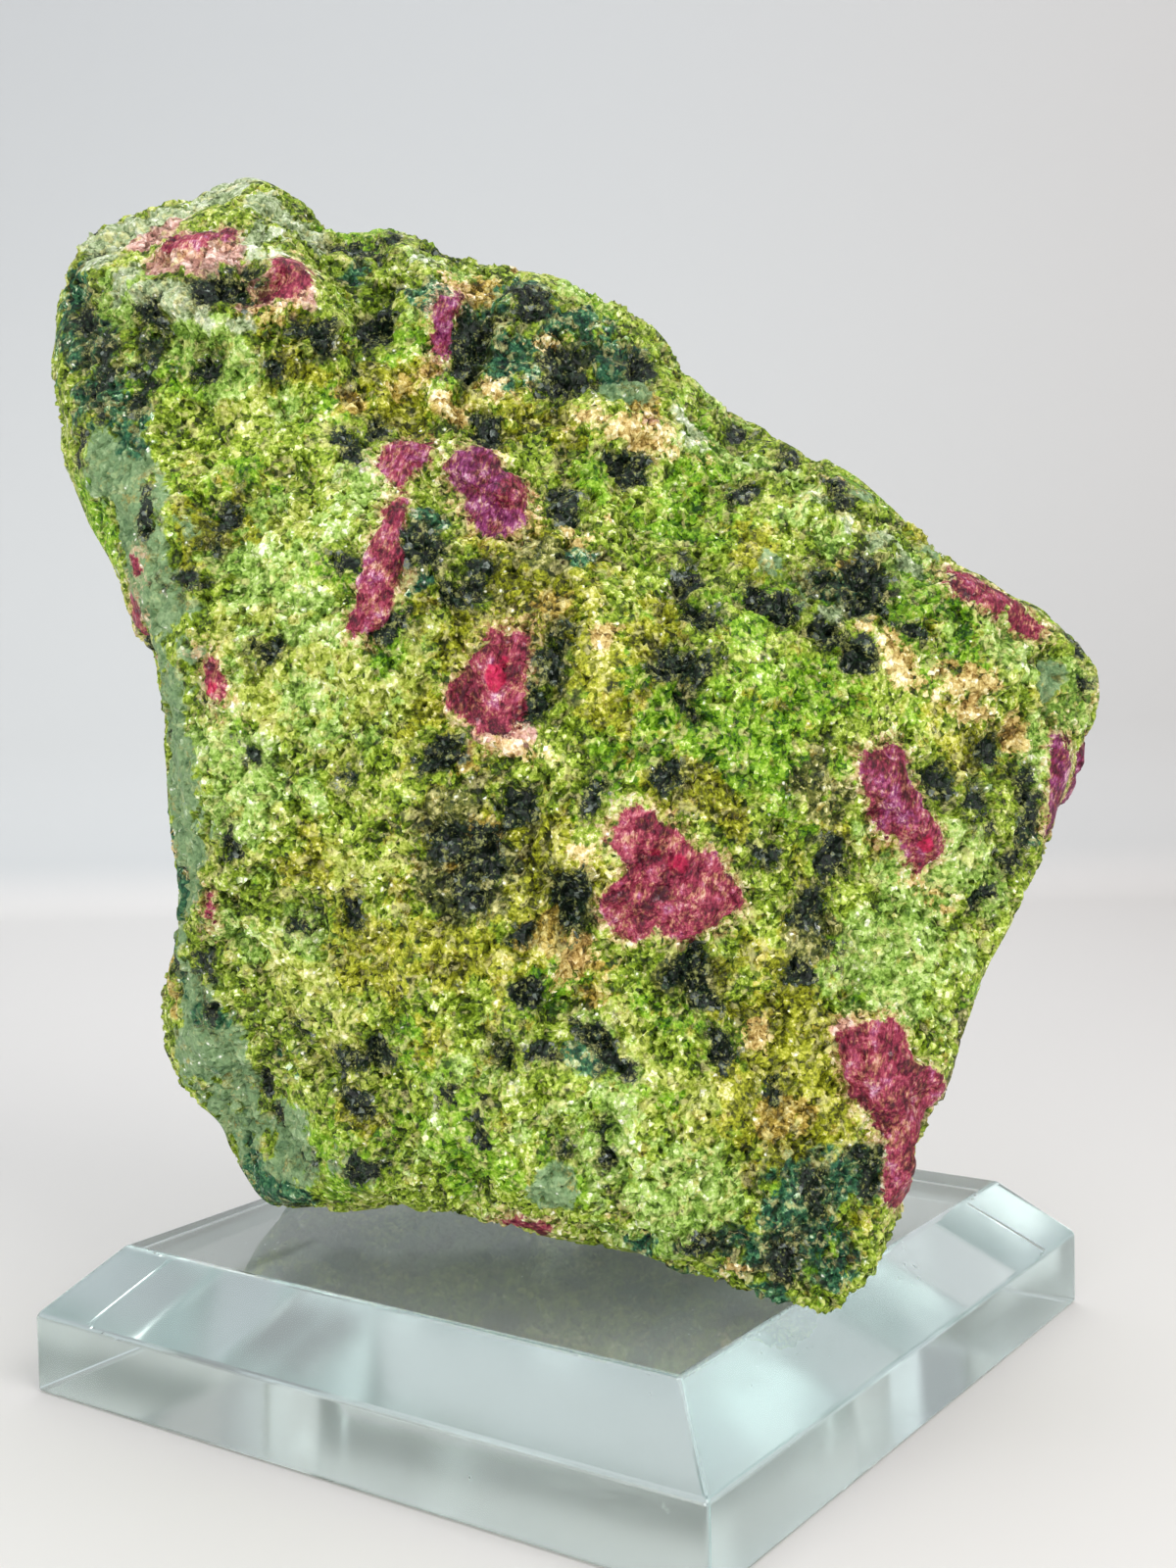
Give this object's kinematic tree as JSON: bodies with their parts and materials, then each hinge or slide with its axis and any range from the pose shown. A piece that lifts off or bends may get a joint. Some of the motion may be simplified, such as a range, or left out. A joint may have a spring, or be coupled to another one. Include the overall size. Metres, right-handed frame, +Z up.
{
  "type": "ruby in zoisite specimen",
  "caption": "Rough block of green zoisite with ruby and hornblende crystals, standing on a square clear glass display base with sloped edges.",
  "frame": {"origin": "centre of the glass base's underside, on the surface the object stands on", "axes": "+Z up, X and Y along the sides of the square base; the stone's broad face looks towards +X -Y"},
  "size_m": [0.1023, 0.0805, 0.1251],
  "materials": {
    "glass": "polished clear glass with a faint blue-green tint",
    "zoisite": "rough broken rock: sugary green zoisite with purple-red ruby and black hornblende crystals"
  },
  "bodies": {
    "root": {"glass_base": "glass", "stone": "zoisite"}
  },
  "joints": []
}
